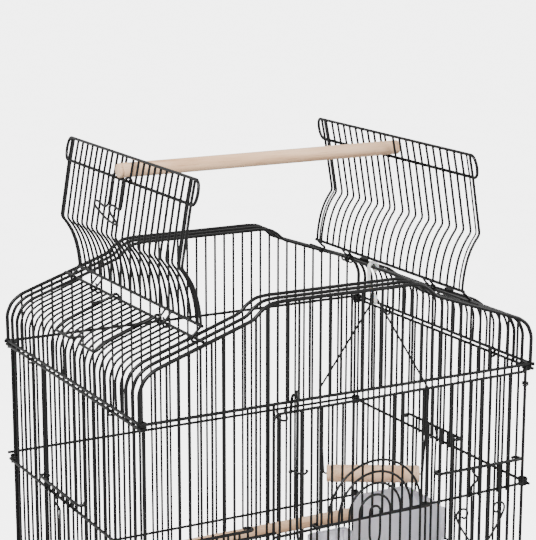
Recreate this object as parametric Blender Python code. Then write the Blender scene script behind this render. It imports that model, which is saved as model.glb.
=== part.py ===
"""Open play-top bird cage on a rolling stand, built in metres with +Z up and the front towards -Y."""
import math

import bmesh
import bpy
from mathutils import Matrix, Vector

for leftover in list(bpy.data.objects):
    bpy.data.objects.remove(leftover, do_unlink=True)

# ---------------------------------------------------------------- main sizes
Z_TOP = 1.510            # top rail of the cage body
HALF_X = 0.2325          # side wall planes
HALF_Y = 0.180           # front and back wall planes
LEVEL_B = -0.138         # horizontal rails, measured down from the top rail
LEVEL_C = -0.262
LEVEL_D = -0.420
LEVEL_E = -0.578
LEVEL_BOTTOM = -0.735
SIDE_DROP = -0.004       # side rails lie this much lower than front and back ones
FRONT_TOP = -0.008       # front and back wall top rail
SIDE_TOP = -0.004        # side wall top rail
RAIL_OVERHANG = 0.005
CORNER_X = 0.2285        # corner posts of the front and back walls

R_WIRE = 0.0011
R_RAIL = 0.0015
R_POST = 0.0017
WIRE_STEP_X = 0.0258
WIRE_STEP_Y = 0.0257
HOOK_R = 0.0042
EYE_R = 0.0034           # hinge eyes round the main door stile
HINGE_EYES = (-0.020, -0.360)
JOINT_GAP = 0.0003       # between nodes that touch in the real cage

HINGE = (0.1625, 0.0735)         # roof hinge rail, x and height over the top rail
DOOR_LEFT_X = -0.088             # main door stiles
DOOR_RIGHT_X = 0.224
DOOR_TOP = -0.0095
DOOR_BOTTOM = -0.4155
DOOR_Y = -0.185
OPENING_LEFT = -0.0845           # left edge of the main door opening; its right edge is the corner post
FEEDER_Y = -0.1845
FEEDER_INNER = 0.1145            # front feeder openings
FEEDER_OUTER = 0.2155
SIDE_FEEDER_HALF = 0.052
SIDE_FEEDER_CENTRE = {-1: 0.030, 1: 0.005}
PLATE_X = 0.245                  # base housing outside
PLATE_Y = 0.195

# Half of the gable outline, from the foot of the shoulder to the middle of the roof.
GABLE = [(0.229, -0.003), (0.229, 0.012), (0.2325, 0.024), (0.2315, 0.036), (0.2265, 0.0453),
         (0.2085, 0.0558), (0.1625, 0.0714), (0.1085, 0.0905), (0.099, 0.0985), (0.0885, 0.104), (0.075, 0.106)]
# Fixed roof side, from its bottom rail to its hinge rail.
SHOULDER = [(0.2325, 0.004), (0.2337, 0.021), (0.2330, 0.034), (0.2275, 0.0455), (0.2085, 0.0565), HINGE]
# Top door section in its open position, from its base bar to its top bar.
TOP_DOOR = [(0.156, 0.0853), (0.158, 0.104), (0.163, 0.124), (0.1765, 0.1455), (0.166, 0.208), (0.161, 0.233)]
FLAP_GAP = 0.0268                # pitch of the flap wires
STILE_Y = 0.1505
R_STILE = 0.0013
PERCH_GAP = 0.0126               # half of the gap that the play perch lies in
PERCH_Z = 0.2184


def collection(name, hidden=False):
    coll = bpy.data.collections.new(name)
    bpy.context.scene.collection.children.link(coll)
    coll.hide_render = hidden
    return coll


PARTS = collection("bird_cage_on_stand")
CUTTERS = collection("cutters", hidden=True)


def material(name, color, roughness, alpha=1.0):
    mat = bpy.data.materials.new(name)
    mat.use_nodes = True
    shader = mat.node_tree.nodes["Principled BSDF"]
    shader.inputs["Base Color"].default_value = (*color, 1.0)
    shader.inputs["Roughness"].default_value = roughness
    shader.inputs["Alpha"].default_value = alpha
    return mat


LOOKS = {
    "coat": ((0.02, 0.02, 0.02), 0.4, 1.0),
    "wood": ((0.72, 0.52, 0.34), 0.6, 1.0),
    "cup": ((0.62, 0.60, 0.66), 0.4, 1.0),
    "white": ((0.85, 0.85, 0.84), 0.4, 1.0),
    "tray": ((0.03, 0.03, 0.03), 0.5, 1.0),
    "tyre": ((0.03, 0.03, 0.03), 0.7, 1.0),
    "fork": ((0.05, 0.05, 0.05), 0.45, 1.0),
}


def add_object(name, mesh, look, coll=PARTS):
    ob = bpy.data.objects.new(name, mesh)
    coll.objects.link(ob)
    if coll is CUTTERS:
        ob.hide_render = True
        ob.display_type = "WIRE"
    else:
        mesh.materials.clear()
        mesh.materials.append(material(name, *LOOKS[look]))
    return ob


def tube_mesh(runs):
    """One mesh of closed tubes. Each run is (points, radius) or (points, radius, 'loop')."""
    curve = bpy.data.curves.new("tube_runs", "CURVE")
    curve.dimensions = "3D"
    curve.fill_mode = "FULL"
    curve.bevel_depth = 0.001
    curve.bevel_resolution = 0
    curve.use_fill_caps = True
    for run in runs:
        points, radius = run[0], run[1]
        spline = curve.splines.new("POLY")
        spline.points.add(len(points) - 1)
        for target, point in zip(spline.points, points):
            target.co = (point[0], point[1], point[2] + Z_TOP, 1.0)
            target.radius = radius / 0.001
        spline.use_cyclic_u = len(run) > 2
    holder = bpy.data.objects.new("tube_runs", curve)
    CUTTERS.objects.link(holder)
    bpy.context.view_layer.update()
    graph = bpy.context.evaluated_depsgraph_get()
    mesh = bpy.data.meshes.new_from_object(holder.evaluated_get(graph))
    bpy.data.objects.remove(holder, do_unlink=True)
    bpy.data.curves.remove(curve)
    shell = bmesh.new()
    shell.from_mesh(mesh)
    bmesh.ops.remove_doubles(shell, verts=shell.verts, dist=0.00001)
    bmesh.ops.recalc_face_normals(shell, faces=shell.faces)
    shell.to_mesh(mesh)
    shell.free()
    return mesh


def solid_mesh(pieces):
    """One mesh from boxes ('box', low corner, high corner) and cylinders ('rod', start, end, radius, sides)."""
    shell = bmesh.new()
    for piece in pieces:
        if piece[0] == "box":
            low, high = Vector(piece[1]), Vector(piece[2])
            size = high - low
            place = Matrix.Translation((low + high) / 2) @ Matrix.Diagonal((*size, 1.0))
            bmesh.ops.create_cube(shell, size=1.0, matrix=place)
        else:
            start, end, radius, sides = Vector(piece[1]), Vector(piece[2]), piece[3], piece[4]
            axis = end - start
            turn = axis.to_track_quat("Z", "Y").to_matrix().to_4x4()
            half_step = Matrix.Rotation(math.pi / sides, 4, "Z")
            place = Matrix.Translation((start + end) / 2) @ turn @ half_step
            bmesh.ops.create_cone(shell, cap_ends=True, segments=sides, radius1=radius, radius2=radius,
                                  depth=axis.length, matrix=place)
    bmesh.ops.recalc_face_normals(shell, faces=shell.faces)
    mesh = bpy.data.meshes.new("solid")
    shell.to_mesh(mesh)
    shell.free()
    return mesh


def set_origin(ob, origin):
    if origin is not None:
        ob.data.transform(Matrix.Translation(-Vector(origin)))
        ob.location = origin


def combine(ob, meshes, operation):
    for number, mesh in enumerate(meshes):
        tool = add_object(f"{ob.name}_{operation.lower()}_{number}", mesh, None, CUTTERS)
        step = ob.modifiers.new(f"{operation.lower()}_{number}", "BOOLEAN")
        step.operation = operation
        step.solver = "EXACT"
        step.object = tool


def wirework(name, families, origin=None, look="coat"):
    """A welded wire part: each family holds tubes that cross the other families but not each other."""
    ob = add_object(name, tube_mesh(families[0]), look)
    set_origin(ob, origin)
    combine(ob, [tube_mesh(family) for family in families[1:]], "UNION")
    return ob


def solid(name, pieces, look, origin=None, add=(), cut=()):
    ob = add_object(name, solid_mesh(pieces), look)
    set_origin(ob, origin)
    combine(ob, [solid_mesh([piece]) for piece in add], "UNION")
    combine(ob, [solid_mesh([piece]) for piece in cut], "DIFFERENCE")
    return ob


def steps(pitch, limit):
    count = int(limit / pitch)
    return [number * pitch for number in range(-count, count + 1)]


def clear_of(value, others, gap=0.006):
    return all(abs(value - other) > gap for other in others)


def arc(centre, radius, start, end, count):
    """Points (u, v) on a circle, angles in degrees."""
    points = []
    for number in range(count + 1):
        angle = math.radians(start + (end - start) * number / count)
        points.append((centre[0] + radius * math.cos(angle), centre[1] + radius * math.sin(angle)))
    return points


def height_at(outline, x):
    for (x0, z0), (x1, z1) in zip(outline, outline[1:]):
        if min(x0, x1) <= abs(x) <= max(x0, x1) and x0 != x1:
            return z0 + (z1 - z0) * (abs(x) - x0) / (x1 - x0)
    return outline[-1][1]


# ---------------------------------------------------------------- walls
def wall_rails(place, top, drop, start, end):
    """Horizontal rails of a wall, from its top one down."""
    levels = (top, LEVEL_B + drop, LEVEL_C + drop, LEVEL_D + drop, LEVEL_E + drop, LEVEL_BOTTOM + drop)
    return [([place(start, level), place(end, level)], R_RAIL) for level in levels]


def front_place(x, z):
    return (x, -HALF_Y, z)


front_edges = [OPENING_LEFT, -FEEDER_OUTER, -FEEDER_INNER]
beside_wires = []
below_wires = []
for x in (-CORNER_X, OPENING_LEFT):
    beside_wires.append(([front_place(x, FRONT_TOP + 0.004), front_place(x, LEVEL_BOTTOM - 0.003)], R_POST))
for x in (-FEEDER_OUTER, -FEEDER_INNER):
    beside_wires.append(([front_place(x, FRONT_TOP), front_place(x, LEVEL_BOTTOM)], R_WIRE))
for x in steps(WIRE_STEP_X, 0.222):
    if not clear_of(x, front_edges):
        continue
    if x > OPENING_LEFT:
        below_wires.append(([front_place(x, LEVEL_D), front_place(x, LEVEL_BOTTOM)], R_WIRE))
    elif -FEEDER_OUTER < x < -FEEDER_INNER:
        beside_wires.append(([front_place(x, FRONT_TOP), front_place(x, LEVEL_B)], R_WIRE))
        beside_wires.append(([front_place(x, LEVEL_C), front_place(x, LEVEL_BOTTOM)], R_WIRE))
    else:
        beside_wires.append(([front_place(x, FRONT_TOP), front_place(x, LEVEL_BOTTOM)], R_WIRE))
weld = 0.0005
beside_rails = wall_rails(front_place, FRONT_TOP, 0.0, -HALF_X - RAIL_OVERHANG, OPENING_LEFT + weld)
wirework("wall_front_beside_door", [beside_wires, beside_rails])
clear = R_POST + JOINT_GAP
below_rails = wall_rails(front_place, FRONT_TOP, 0.0, OPENING_LEFT + clear, CORNER_X - clear)[3:]
wirework("wall_front_below_door", [below_wires, below_rails])
post = ([front_place(CORNER_X, FRONT_TOP + 0.004), front_place(CORNER_X, LEVEL_BOTTOM - 0.003)], R_POST)
wirework("door_post", [[post]])
for name, z in (("hinge_eye_upper", HINGE_EYES[0]), ("hinge_eye_lower", HINGE_EYES[1])):
    ring = arc((DOOR_RIGHT_X, DOOR_Y), EYE_R, 0, 324, 9)
    wirework(name, [[([(x, y, z) for x, y in ring], R_WIRE, "loop")]])

back_wires = []
for x in (-CORNER_X, CORNER_X):
    back_wires.append(([(x, HALF_Y, FRONT_TOP + 0.004), (x, HALF_Y, LEVEL_BOTTOM - 0.003)], R_POST))
for x in steps(WIRE_STEP_X, 0.222):
    back_wires.append(([(x, HALF_Y, FRONT_TOP), (x, HALF_Y, LEVEL_BOTTOM)], R_WIRE))
wirework("wall_back", [back_wires, wall_rails(lambda x, z: (x, HALF_Y, z), FRONT_TOP, 0.0, -HALF_X - RAIL_OVERHANG,
                                                HALF_X + RAIL_OVERHANG)])


def side_wall(name, side):
    def place(y, z):
        return (side * HALF_X, y, z)

    centre = SIDE_FEEDER_CENTRE[side]
    edges = [centre - SIDE_FEEDER_HALF, centre + SIDE_FEEDER_HALF]
    low = LEVEL_BOTTOM + SIDE_DROP
    wires = [([place(y, SIDE_TOP + 0.004), place(y, low - 0.0005)], R_POST) for y in (-0.1755, 0.1755)]
    wires += [([place(y, SIDE_TOP), place(y, low)], R_WIRE) for y in edges]
    for y in steps(WIRE_STEP_Y, 0.17):
        if not clear_of(y, edges):
            continue
        if edges[0] < y < edges[1]:
            wires.append(([place(y, SIDE_TOP), place(y, LEVEL_B + SIDE_DROP)], R_WIRE))
            wires.append(([place(y, LEVEL_C + SIDE_DROP), place(y, low)], R_WIRE))
        else:
            wires.append(([place(y, SIDE_TOP), place(y, low)], R_WIRE))
    wirework(name, [wires, wall_rails(place, SIDE_TOP, SIDE_DROP, -HALF_Y - RAIL_OVERHANG,
                                         HALF_Y + RAIL_OVERHANG)])


side_wall("wall_left", -1)
side_wall("wall_right", 1)


# ---------------------------------------------------------------- roof
def gable(name, y):
    outline = [(x, y, z) for x, z in GABLE] + [(-x, y, z) for x, z in reversed(GABLE)]
    wires = [([(x, y, 0.0), (x, y, height_at(GABLE, x))], R_WIRE) for x in steps(WIRE_STEP_X, 0.215)]
    rail = [([(-HALF_X - RAIL_OVERHANG, y, 0.0), (HALF_X + RAIL_OVERHANG, y, 0.0)], R_RAIL)]
    wirework(name, [wires, rail, [(outline, R_POST)]])


gable("gable_front", -HALF_Y)
gable("gable_back", HALF_Y)


def roof_side(name, side):
    def bent(y, radius):
        return ([(side * x, y, z) for x, z in SHOULDER], radius)

    wires = [bent(y, R_WIRE) for y in steps(WIRE_STEP_Y, 0.165)]
    ends = [bent(y, 0.0013) for y in (-0.1715, 0.1715)]
    rails = []
    for (x, z), reach in ((SHOULDER[0], 0.185), (HINGE, 0.1755)):
        rails.append(([(side * x, -reach, z), (side * x, reach, z)], R_RAIL))
    wirework(name, [wires + ends, rails])


roof_side("roof_left", -1)
roof_side("roof_right", 1)


# ---------------------------------------------------------------- top doors, stays, play perch
def hook_round(centre, side, y, start, end, count=6):
    return [(side * x, y, z) for x, z in arc(centre, HOOK_R, start, end, count)]


def top_door(name, side):
    """A roof flap in its open position: wire panel, hinge stiles, and the raised rail ring above its crossbar."""
    section = [(side * x, z) for x, z in TOP_DOOR]
    (cross_x, cross_z), (top_x, top_z) = section[4], section[5]
    axis = (side * HINGE[0], 0.0, Z_TOP + HINGE[1])
    wires = []
    for number in range(5):
        for sign in (-1, 1):
            y = sign * (FLAP_GAP / 2 + FLAP_GAP * number)
            wires.append(([(x, y, z) for x, z in section[:5]], R_WIRE))
    reach = STILE_Y - R_STILE - JOINT_GAP
    base = ([(section[0][0], -reach, section[0][1]), (section[0][0], reach, section[0][1])], R_RAIL)
    crossbar = ([(cross_x, -reach, cross_z), (cross_x, reach, cross_z)], R_RAIL)
    wirework(name, [wires, [base, crossbar]], axis)
    for end, sign in (("front", -1), ("back", 1)):
        tail = hook_round(HINGE, side, sign * STILE_Y, -150, 85)
        stile = tail + [(x, sign * STILE_Y, z) for x, z in section[:4]]
        stile.append((cross_x, sign * STILE_Y, cross_z - 0.004))
        wirework(f"{name}_stile_{end}", [[(stile, R_STILE)]], axis)
        shape = [(1.0, PERCH_GAP), (1.0, 0.155), (0.90, 0.163), (0.68, 0.169), (0.40, 0.169), (0.20, 0.165), (0.20, 0.158)]
        loop = [(cross_x + (top_x - cross_x) * share, sign * out, cross_z + (top_z - cross_z) * share)
                for share, out in shape]
        spindles = []
        for number in range(5):
            y = sign * (FLAP_GAP / 2 + FLAP_GAP * number)
            foot = 0.0025 / (top_z - cross_z)
            spindles.append(([(cross_x + (top_x - cross_x) * foot, y, cross_z + 0.0025), (top_x, y, top_z)], R_WIRE))
        wirework(f"{name}_rail_{end}", [spindles, [(loop, R_RAIL)]], axis)
    middle = PERCH_GAP - JOINT_GAP
    wirework(name + "_rail_middle", [[([(top_x, -middle, top_z), (top_x, middle, top_z)], R_RAIL)]], axis)


top_door("top_door_left", -1)
top_door("top_door_right", 1)


def stay(name, side, y_back, y_front):
    far = (side * 0.2335, 0.049)
    bend = (side * 0.2115, 0.062)
    middle = (y_back + y_front) / 2
    path = hook_round(HINGE, side, y_back, 215, 20)
    path += [(bend[0], y_back, bend[1]), (far[0], y_back, far[1]), (far[0], middle + 0.012, far[1])]
    path += [(side * 0.224, middle, far[1] + 0.003)]
    path += [(far[0], middle - 0.012, far[1]), (far[0], y_front, far[1]), (bend[0], y_front, bend[1])]
    path += hook_round(HINGE, side, y_front, 20, 215)
    wirework(name, [[(path, R_WIRE)]], (side * HINGE[0], 0.0, Z_TOP + HINGE[1]))


stay("stay_left", -1, 0.036, -0.070)
stay("stay_right", 1, 0.088, -0.092)

CROSSBAR = TOP_DOOR[4]
LATCH_ARMS = (0.0214, -0.0109)
latch = hook_round(CROSSBAR, -1, LATCH_ARMS[0], 200, -15)
latch += [(-0.1738, LATCH_ARMS[0], 0.1820), (-0.1752, 0.0330, 0.1762), (-0.1752, 0.0540, 0.1775)]
latch += [(-0.1765, 0.0560, 0.1730), (-0.1772, 0.0200, 0.1632), (-0.1782, -0.0075, 0.1618), (-0.1782, -0.0082, 0.1648)]
latch += [(-0.1768, 0.0150, 0.1725), (-0.1758, 0.0175, 0.1775), (-0.1752, 0.0060, 0.1795)]
latch += [(-0.1752, -0.0060, 0.1785), (-0.1738, LATCH_ARMS[1], 0.1830)]
latch += hook_round(CROSSBAR, -1, LATCH_ARMS[1], -15, 200)
wirework("top_latch", [[(latch, R_WIRE)]], (-CROSSBAR[0], 0.0, Z_TOP + CROSSBAR[1]))

perch_centre = Z_TOP + PERCH_Z
solid("play_perch", [("rod", (-0.173, 0, perch_centre), (0.173, 0, perch_centre), 0.008, 20)], "wood",
      (0.0, 0.0, perch_centre))

# ---------------------------------------------------------------- swing
SWING_Y = 0.032
SWING_TURN = math.radians(30.0)
SWING_DIR = (math.cos(SWING_TURN), -math.sin(SWING_TURN))
PIVOT = (0.1665, SWING_Y, 0.0353)
BAR_Z = -0.177
BAR_HALF = 0.053
BAR_R = 0.0095
LEG_FOOT = 0.058                 # where the swing wire turns in towards the bar
LEG_WIDE = (0.0648, -0.0750)     # widest point of the swing wire


def on_swing(along, z):
    return (PIVOT[0] + along * SWING_DIR[0], PIVOT[1] + along * SWING_DIR[1], z)


hook = [(x, SWING_Y, z) for x, z in arc(HINGE, 0.0056, -70, 190, 7)]
hook += [(HINGE[0] - 0.0052, SWING_Y, 0.052)]
side_x, side_y = -SWING_DIR[1], SWING_DIR[0]
for along, z in arc((0.0, PIVOT[2]), 0.0046, 30, -210, 6):
    hook.append((PIVOT[0] - along * side_x, PIVOT[1] - along * side_y, z))
wirework("swing_hook", [[(hook, 0.0020)]], look="white")

half_wire = [(BAR_HALF + JOINT_GAP, BAR_Z), (LEG_FOOT, BAR_Z), LEG_WIDE, (0.005, PIVOT[2] - 0.004), (0.0025, PIVOT[2])]
swing_wire = [on_swing(-along, z) for along, z in half_wire]
swing_wire += [on_swing(along, z) for along, z in reversed(half_wire)]
pivot_world = (PIVOT[0], PIVOT[1], PIVOT[2] + Z_TOP)
wirework("swing_wire", [[(swing_wire, R_WIRE)]], pivot_world)
bar_ends = [Vector(on_swing(along, BAR_Z + Z_TOP)) for along in (-BAR_HALF, BAR_HALF)]
solid("swing_bar", [("rod", bar_ends[0], bar_ends[1], BAR_R, 16)], "wood", pivot_world)

# ---------------------------------------------------------------- main door with its latch and inner door
ARCH_X = 0.030
INNER_LEFT = -0.036
INNER_RIGHT = 0.098


def door_place(x, z):
    return (x, DOOR_Y, z)


door_frame = [door_place(DOOR_LEFT_X, DOOR_BOTTOM), door_place(DOOR_LEFT_X, DOOR_TOP - 0.010)]
door_frame += [door_place(DOOR_LEFT_X + 0.003, DOOR_TOP - 0.003), door_place(DOOR_LEFT_X + 0.010, DOOR_TOP)]
door_frame += [door_place(DOOR_RIGHT_X, DOOR_TOP), door_place(DOOR_RIGHT_X, DOOR_BOTTOM)]
door_wires = []
door_edges = (INNER_LEFT, INNER_RIGHT, FEEDER_INNER, FEEDER_OUTER)
for x in door_edges:
    door_wires.append(([door_place(x, DOOR_TOP), door_place(x, DOOR_BOTTOM)], R_WIRE))
for x in steps(WIRE_STEP_X, 0.22):
    if not DOOR_LEFT_X + 0.006 < x < DOOR_RIGHT_X - 0.006 or not clear_of(x, door_edges):
        continue
    if INNER_LEFT < x < INNER_RIGHT or FEEDER_INNER < x < FEEDER_OUTER:
        door_wires.append(([door_place(x, DOOR_TOP), door_place(x, LEVEL_B)], R_WIRE))
        door_wires.append(([door_place(x, LEVEL_C), door_place(x, DOOR_BOTTOM)], R_WIRE))
    else:
        door_wires.append(([door_place(x, DOOR_TOP), door_place(x, DOOR_BOTTOM)], R_WIRE))
door_rails = []
for z in (LEVEL_B, LEVEL_C):
    door_rails.append(([door_place(DOOR_LEFT_X - 0.0005, z), door_place(DOOR_RIGHT_X + 0.0005, z)], 0.0013))
arches = []
for radius, count in ((0.058, 10), (0.034, 8)):
    bow = arc((ARCH_X, LEVEL_B), radius, 180, 0, count)
    arches.append(([door_place(x, z) for x, z in bow], 0.0010))
door_axis = (DOOR_RIGHT_X, DOOR_Y, Z_TOP + LEVEL_B)
wirework("front_door", [door_wires, [(door_frame, R_POST, "loop")], door_rails, arches], door_axis)

INNER_Y = -0.1895
inner_top = LEVEL_B + 0.0055
bar = [(x, y, inner_top) for x, y in arc((INNER_LEFT, DOOR_Y), HOOK_R, 60, 270, 5)]
bar += [(x, y, inner_top) for x, y in arc((INNER_RIGHT, DOOR_Y), HOOK_R, -90, 120, 5)]
inner_wires = []
for number in range(5):
    x = INNER_LEFT + 0.007 + number * 0.030
    inner_wires.append(([(x, INNER_Y, inner_top), (x, INNER_Y, -0.2575)], R_WIRE))
sill = [([(INNER_LEFT + 0.002, INNER_Y, -0.2565), (INNER_RIGHT - 0.002, INNER_Y, -0.2565)], 0.0013)]
loop = [(x, INNER_Y, z) for x, z in arc((ARCH_X, -0.176), 0.0085, 160, -160, 7)]
wirework("inner_door", [inner_wires, [(bar, 0.0013)] + sill, [(loop, 0.0010, "loop")]],
         (ARCH_X, INNER_Y, Z_TOP + inner_top))

ROD_X = -0.0628
rod = [(ROD_X, -0.1892, -0.160), (ROD_X, -0.1892, 0.0015), (ROD_X, -0.1870, 0.0047), (ROD_X, -0.1845, 0.0047)]
finger = [(ROD_X - 0.0095, -0.1892, -0.070), (ROD_X - 0.003, -0.1892, -0.074), (ROD_X + 0.003, -0.1892, -0.072)]
finger += [(ROD_X + 0.0095, -0.1892, -0.076)]
wirework("door_latch", [[(rod, 0.0014)], [(finger, R_WIRE)]], (ROD_X, -0.1892, Z_TOP - 0.074))


# ---------------------------------------------------------------- feeder doors
def feeder_door(name, place, centre, half, top, scroll):
    """place(across, out, z) maps panel coordinates; out is measured away from the cage."""
    left_hook = [place(centre + u, v, top) for u, v in arc((-half, 0.0), HOOK_R, -60, -270, 5)]
    right_hook = [place(centre + u, v, top) for u, v in arc((half, 0.0), HOOK_R, 90, -120, 5)]
    span = left_hook + right_hook
    count = 4
    uprights = []
    for number in range(count):
        across = centre + (number - (count - 1) / 2) * (2 * half - 0.020) / (count - 1)
        uprights.append(([place(across, 0.0045, top), place(across, 0.0045, LEVEL_C + 0.004)], R_WIRE))
    sill_run = [place(centre - half + 0.004, 0.0045, LEVEL_C + 0.005),
                place(centre + half - 0.004, 0.0045, LEVEL_C + 0.005)]
    families = [uprights, [(span, R_RAIL), (sill_run, 0.0013)]]
    if scroll:
        bow = [place(centre - 0.030, 0.0045, -0.163), place(centre - 0.022, 0.0045, -0.178),
               place(centre, 0.0045, -0.215), place(centre + 0.022, 0.0045, -0.178),
               place(centre + 0.030, 0.0045, -0.163)]
        families.append([(bow, 0.0010)])
    origin = place(centre, 0.0045, top)
    wirework(name, families, (origin[0], origin[1], origin[2] + Z_TOP))


def front_panel(across, out, z):
    return (across, -HALF_Y - out, z)


def main_door_panel(across, out, z):
    return (across, DOOR_Y - out, z)


def left_panel(across, out, z):
    return (-HALF_X - out, across, z)


def right_panel(across, out, z):
    return (HALF_X + out, across, z)


feeder_mid = (FEEDER_INNER + FEEDER_OUTER) / 2
feeder_half = (FEEDER_OUTER - FEEDER_INNER) / 2
feeder_door("feeder_door_front_left", front_panel, -feeder_mid, feeder_half, -0.129, True)
feeder_door("feeder_door_front_right", main_door_panel, feeder_mid, feeder_half, -0.1045, True)
feeder_door("feeder_door_left", left_panel, SIDE_FEEDER_CENTRE[-1], SIDE_FEEDER_HALF, -0.132, False)
feeder_door("feeder_door_right", right_panel, SIDE_FEEDER_CENTRE[1], SIDE_FEEDER_HALF, -0.128, False)


# ---------------------------------------------------------------- cups and perches
def cup(name, low, high, wall=0.002):
    low = (low[0], low[1], low[2] + Z_TOP)
    high = (high[0], high[1], high[2] + Z_TOP)
    hollow = ("box", (low[0] + wall, low[1] + wall, low[2] + wall),
              (high[0] - wall, high[1] - wall, high[2] + 0.01))
    solid(name, [("box", low, high)], "cup", cut=[hollow])


cup("cup_back", (0.160, 0.124, -0.345), (0.216, 0.1775, -0.305))
cup("cup_left", (-0.2300, -0.025, -0.345), (-0.170, 0.055, -0.300))

# Cup inside the right feeder door: a bowl behind an upright plate with an arched top.
BOWL_LOW = (0.150, -0.0265, -0.274)
BOWL_HIGH = (0.230, 0.055, -0.212)
PLATE_DEPTH = 0.0025
PLATE_OUTLINE = [(0.150, -0.274), (0.230, -0.274), (0.230, -0.214), (0.216, -0.209), (0.199, -0.2065), (0.192, -0.2025),
                 (0.185, -0.190), (0.178, -0.1840), (0.170, -0.1825), (0.162, -0.1840), (0.154, -0.192), (0.150, -0.203)]


def prism(section, y_low, y_high):
    shell = bmesh.new()
    near = [shell.verts.new((x, y_low, z + Z_TOP)) for x, z in section]
    far = [shell.verts.new((x, y_high, z + Z_TOP)) for x, z in section]
    shell.faces.new(near)
    shell.faces.new(far)
    for number in range(len(section)):
        other = (number + 1) % len(section)
        shell.faces.new((near[number], near[other], far[other], far[number]))
    bmesh.ops.recalc_face_normals(shell, faces=shell.faces)
    mesh = bpy.data.meshes.new("prism")
    shell.to_mesh(mesh)
    shell.free()
    return mesh


def raised(point, inset=0.0, lift=0.0):
    return (point[0] + inset, point[1] + inset, point[2] + Z_TOP + lift)


bowl = solid("cup_right", [("box", raised(BOWL_LOW), raised(BOWL_HIGH))], "cup")
combine(bowl, [prism(PLATE_OUTLINE, BOWL_LOW[1] - 0.002, BOWL_LOW[1] - 0.002 + PLATE_DEPTH)], "UNION")
combine(bowl, [solid_mesh([("box", raised(BOWL_LOW, 0.002, 0.002), raised(BOWL_HIGH, -0.002, 0.01))])], "DIFFERENCE")

for name, y, z in (("perch_upper", 0.118, -0.2625), ("perch_lower", -0.060, -0.500)):
    solid(name, [("rod", (-0.2300, y, Z_TOP + z), (0.2300, y, Z_TOP + z), 0.0075, 16)], "wood")

# ---------------------------------------------------------------- base housing, tray and grate
BASE_LOW, BASE_HIGH = 0.708, 0.768
solid("base_housing", [("box", (-PLATE_X, -PLATE_Y, BASE_LOW), (PLATE_X, PLATE_Y, BASE_HIGH))], "coat", cut=[
    ("box", (-0.241, -0.191, 0.712), (0.241, 0.191, 0.80)),
    ("box", (-0.215, -0.165, 0.70), (0.215, 0.165, 0.72)),
    ("box", (-0.232, -0.20, 0.712), (0.232, -0.18, 0.7605)),
])
solid("tray", [("box", (-0.2305, -0.1945, 0.7125), (0.2305, 0.184, 0.7490))], "tray",
      (0.0, -0.1945, 0.7125), cut=[("box", (-0.2285, -0.1905, 0.7145), (0.2285, 0.182, 0.76))])
grate_z = 0.7530 - Z_TOP
grate_long = [([(x, -0.188, grate_z), (x, 0.182, grate_z)], R_WIRE) for x in steps(0.0365, 0.21)]
grate_long += [([(x, -0.1895, grate_z), (x, 0.1835, grate_z)], R_RAIL) for x in (-0.2285, 0.2285)]
grate_cross = [([(-0.230, y, grate_z), (0.230, y, grate_z)], 0.0013) for y in (-0.188, 0.0, 0.182)]
wirework("grate", [grate_long, grate_cross], (0.0, -0.188, 0.7530))

# ---------------------------------------------------------------- stand
LEG_X, LEG_Y = 0.2215, 0.1715
LEG_W = 0.019
LEG_WALL = 0.0015
for name, sx, sy in (("leg_front_left", -1, -1), ("leg_front_right", 1, -1),
                     ("leg_back_left", -1, 1), ("leg_back_right", 1, 1)):
    cx, cy = sx * LEG_X, sy * LEG_Y
    outside, inside = LEG_W / 2, LEG_W / 2 - LEG_WALL
    solid(name, [("box", (cx - outside, cy - outside, 0.0755), (cx + outside, cy + outside, 0.7075))], "coat",
          cut=[("box", (cx - inside, cy - inside, 0.07), (cx + inside, cy + inside, 0.71))])
solid("stand_ring", [("box", (-0.2115, -0.1615, 0.660), (0.2115, 0.1615, 0.690))], "coat",
      cut=[("box", (-0.2085, -0.1585, 0.65), (0.2085, 0.1585, 0.70))])
solid("shelf", [("box", (-0.2115, -0.1615, 0.215), (0.2115, 0.1615, 0.245))], "coat",
      cut=[("box", (-0.2095, -0.1595, 0.217), (0.2095, 0.1595, 0.26))])

WHEEL_R = 0.025
TRAIL = 0.012
for name, sx, sy in (("front_left", -1, -1), ("front_right", 1, -1), ("back_left", -1, 1), ("back_right", 1, 1)):
    cx, cy = sx * LEG_X, sy * LEG_Y
    wx = cx - sx * TRAIL
    cheeks = [("box", (wx - 0.011, cy + low, 0.016), (wx + 0.011, cy + high, 0.058))
              for low, high in ((-0.0135, -0.0110), (0.0110, 0.0135))]
    axle = ("rod", (wx, cy - 0.0125, WHEEL_R), (wx, cy + 0.0125, WHEEL_R), 0.0030, 12)
    crown = ("box", (min(cx, wx) - 0.011, cy - 0.0135, 0.0555), (max(cx, wx) + 0.011, cy + 0.0135, 0.0590))
    stem = ("rod", (cx, cy, 0.0570), (cx, cy, 0.0750), 0.0065, 12)
    solid("caster_fork_" + name, [crown], "fork", (cx, cy, 0.0590), add=[cheeks[0], cheeks[1], axle, stem])
    solid("caster_wheel_" + name, [("rod", (wx, cy - 0.0095, WHEEL_R), (wx, cy + 0.0095, WHEEL_R), WHEEL_R / math.cos(math.pi / 24), 24)],
          "tyre", (wx, cy, WHEEL_R),
          cut=[("rod", (wx, cy - 0.02, WHEEL_R), (wx, cy + 0.02, WHEEL_R), 0.0035, 12)])
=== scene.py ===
"""Looks of an open play-top bird cage on a rolling stand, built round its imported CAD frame.

Metres, +Z up, front towards -Y. Heights of the cage's wires are measured from its top rail.
"""
import math

import bmesh
import bpy
from mathutils import Matrix, Vector


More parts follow.
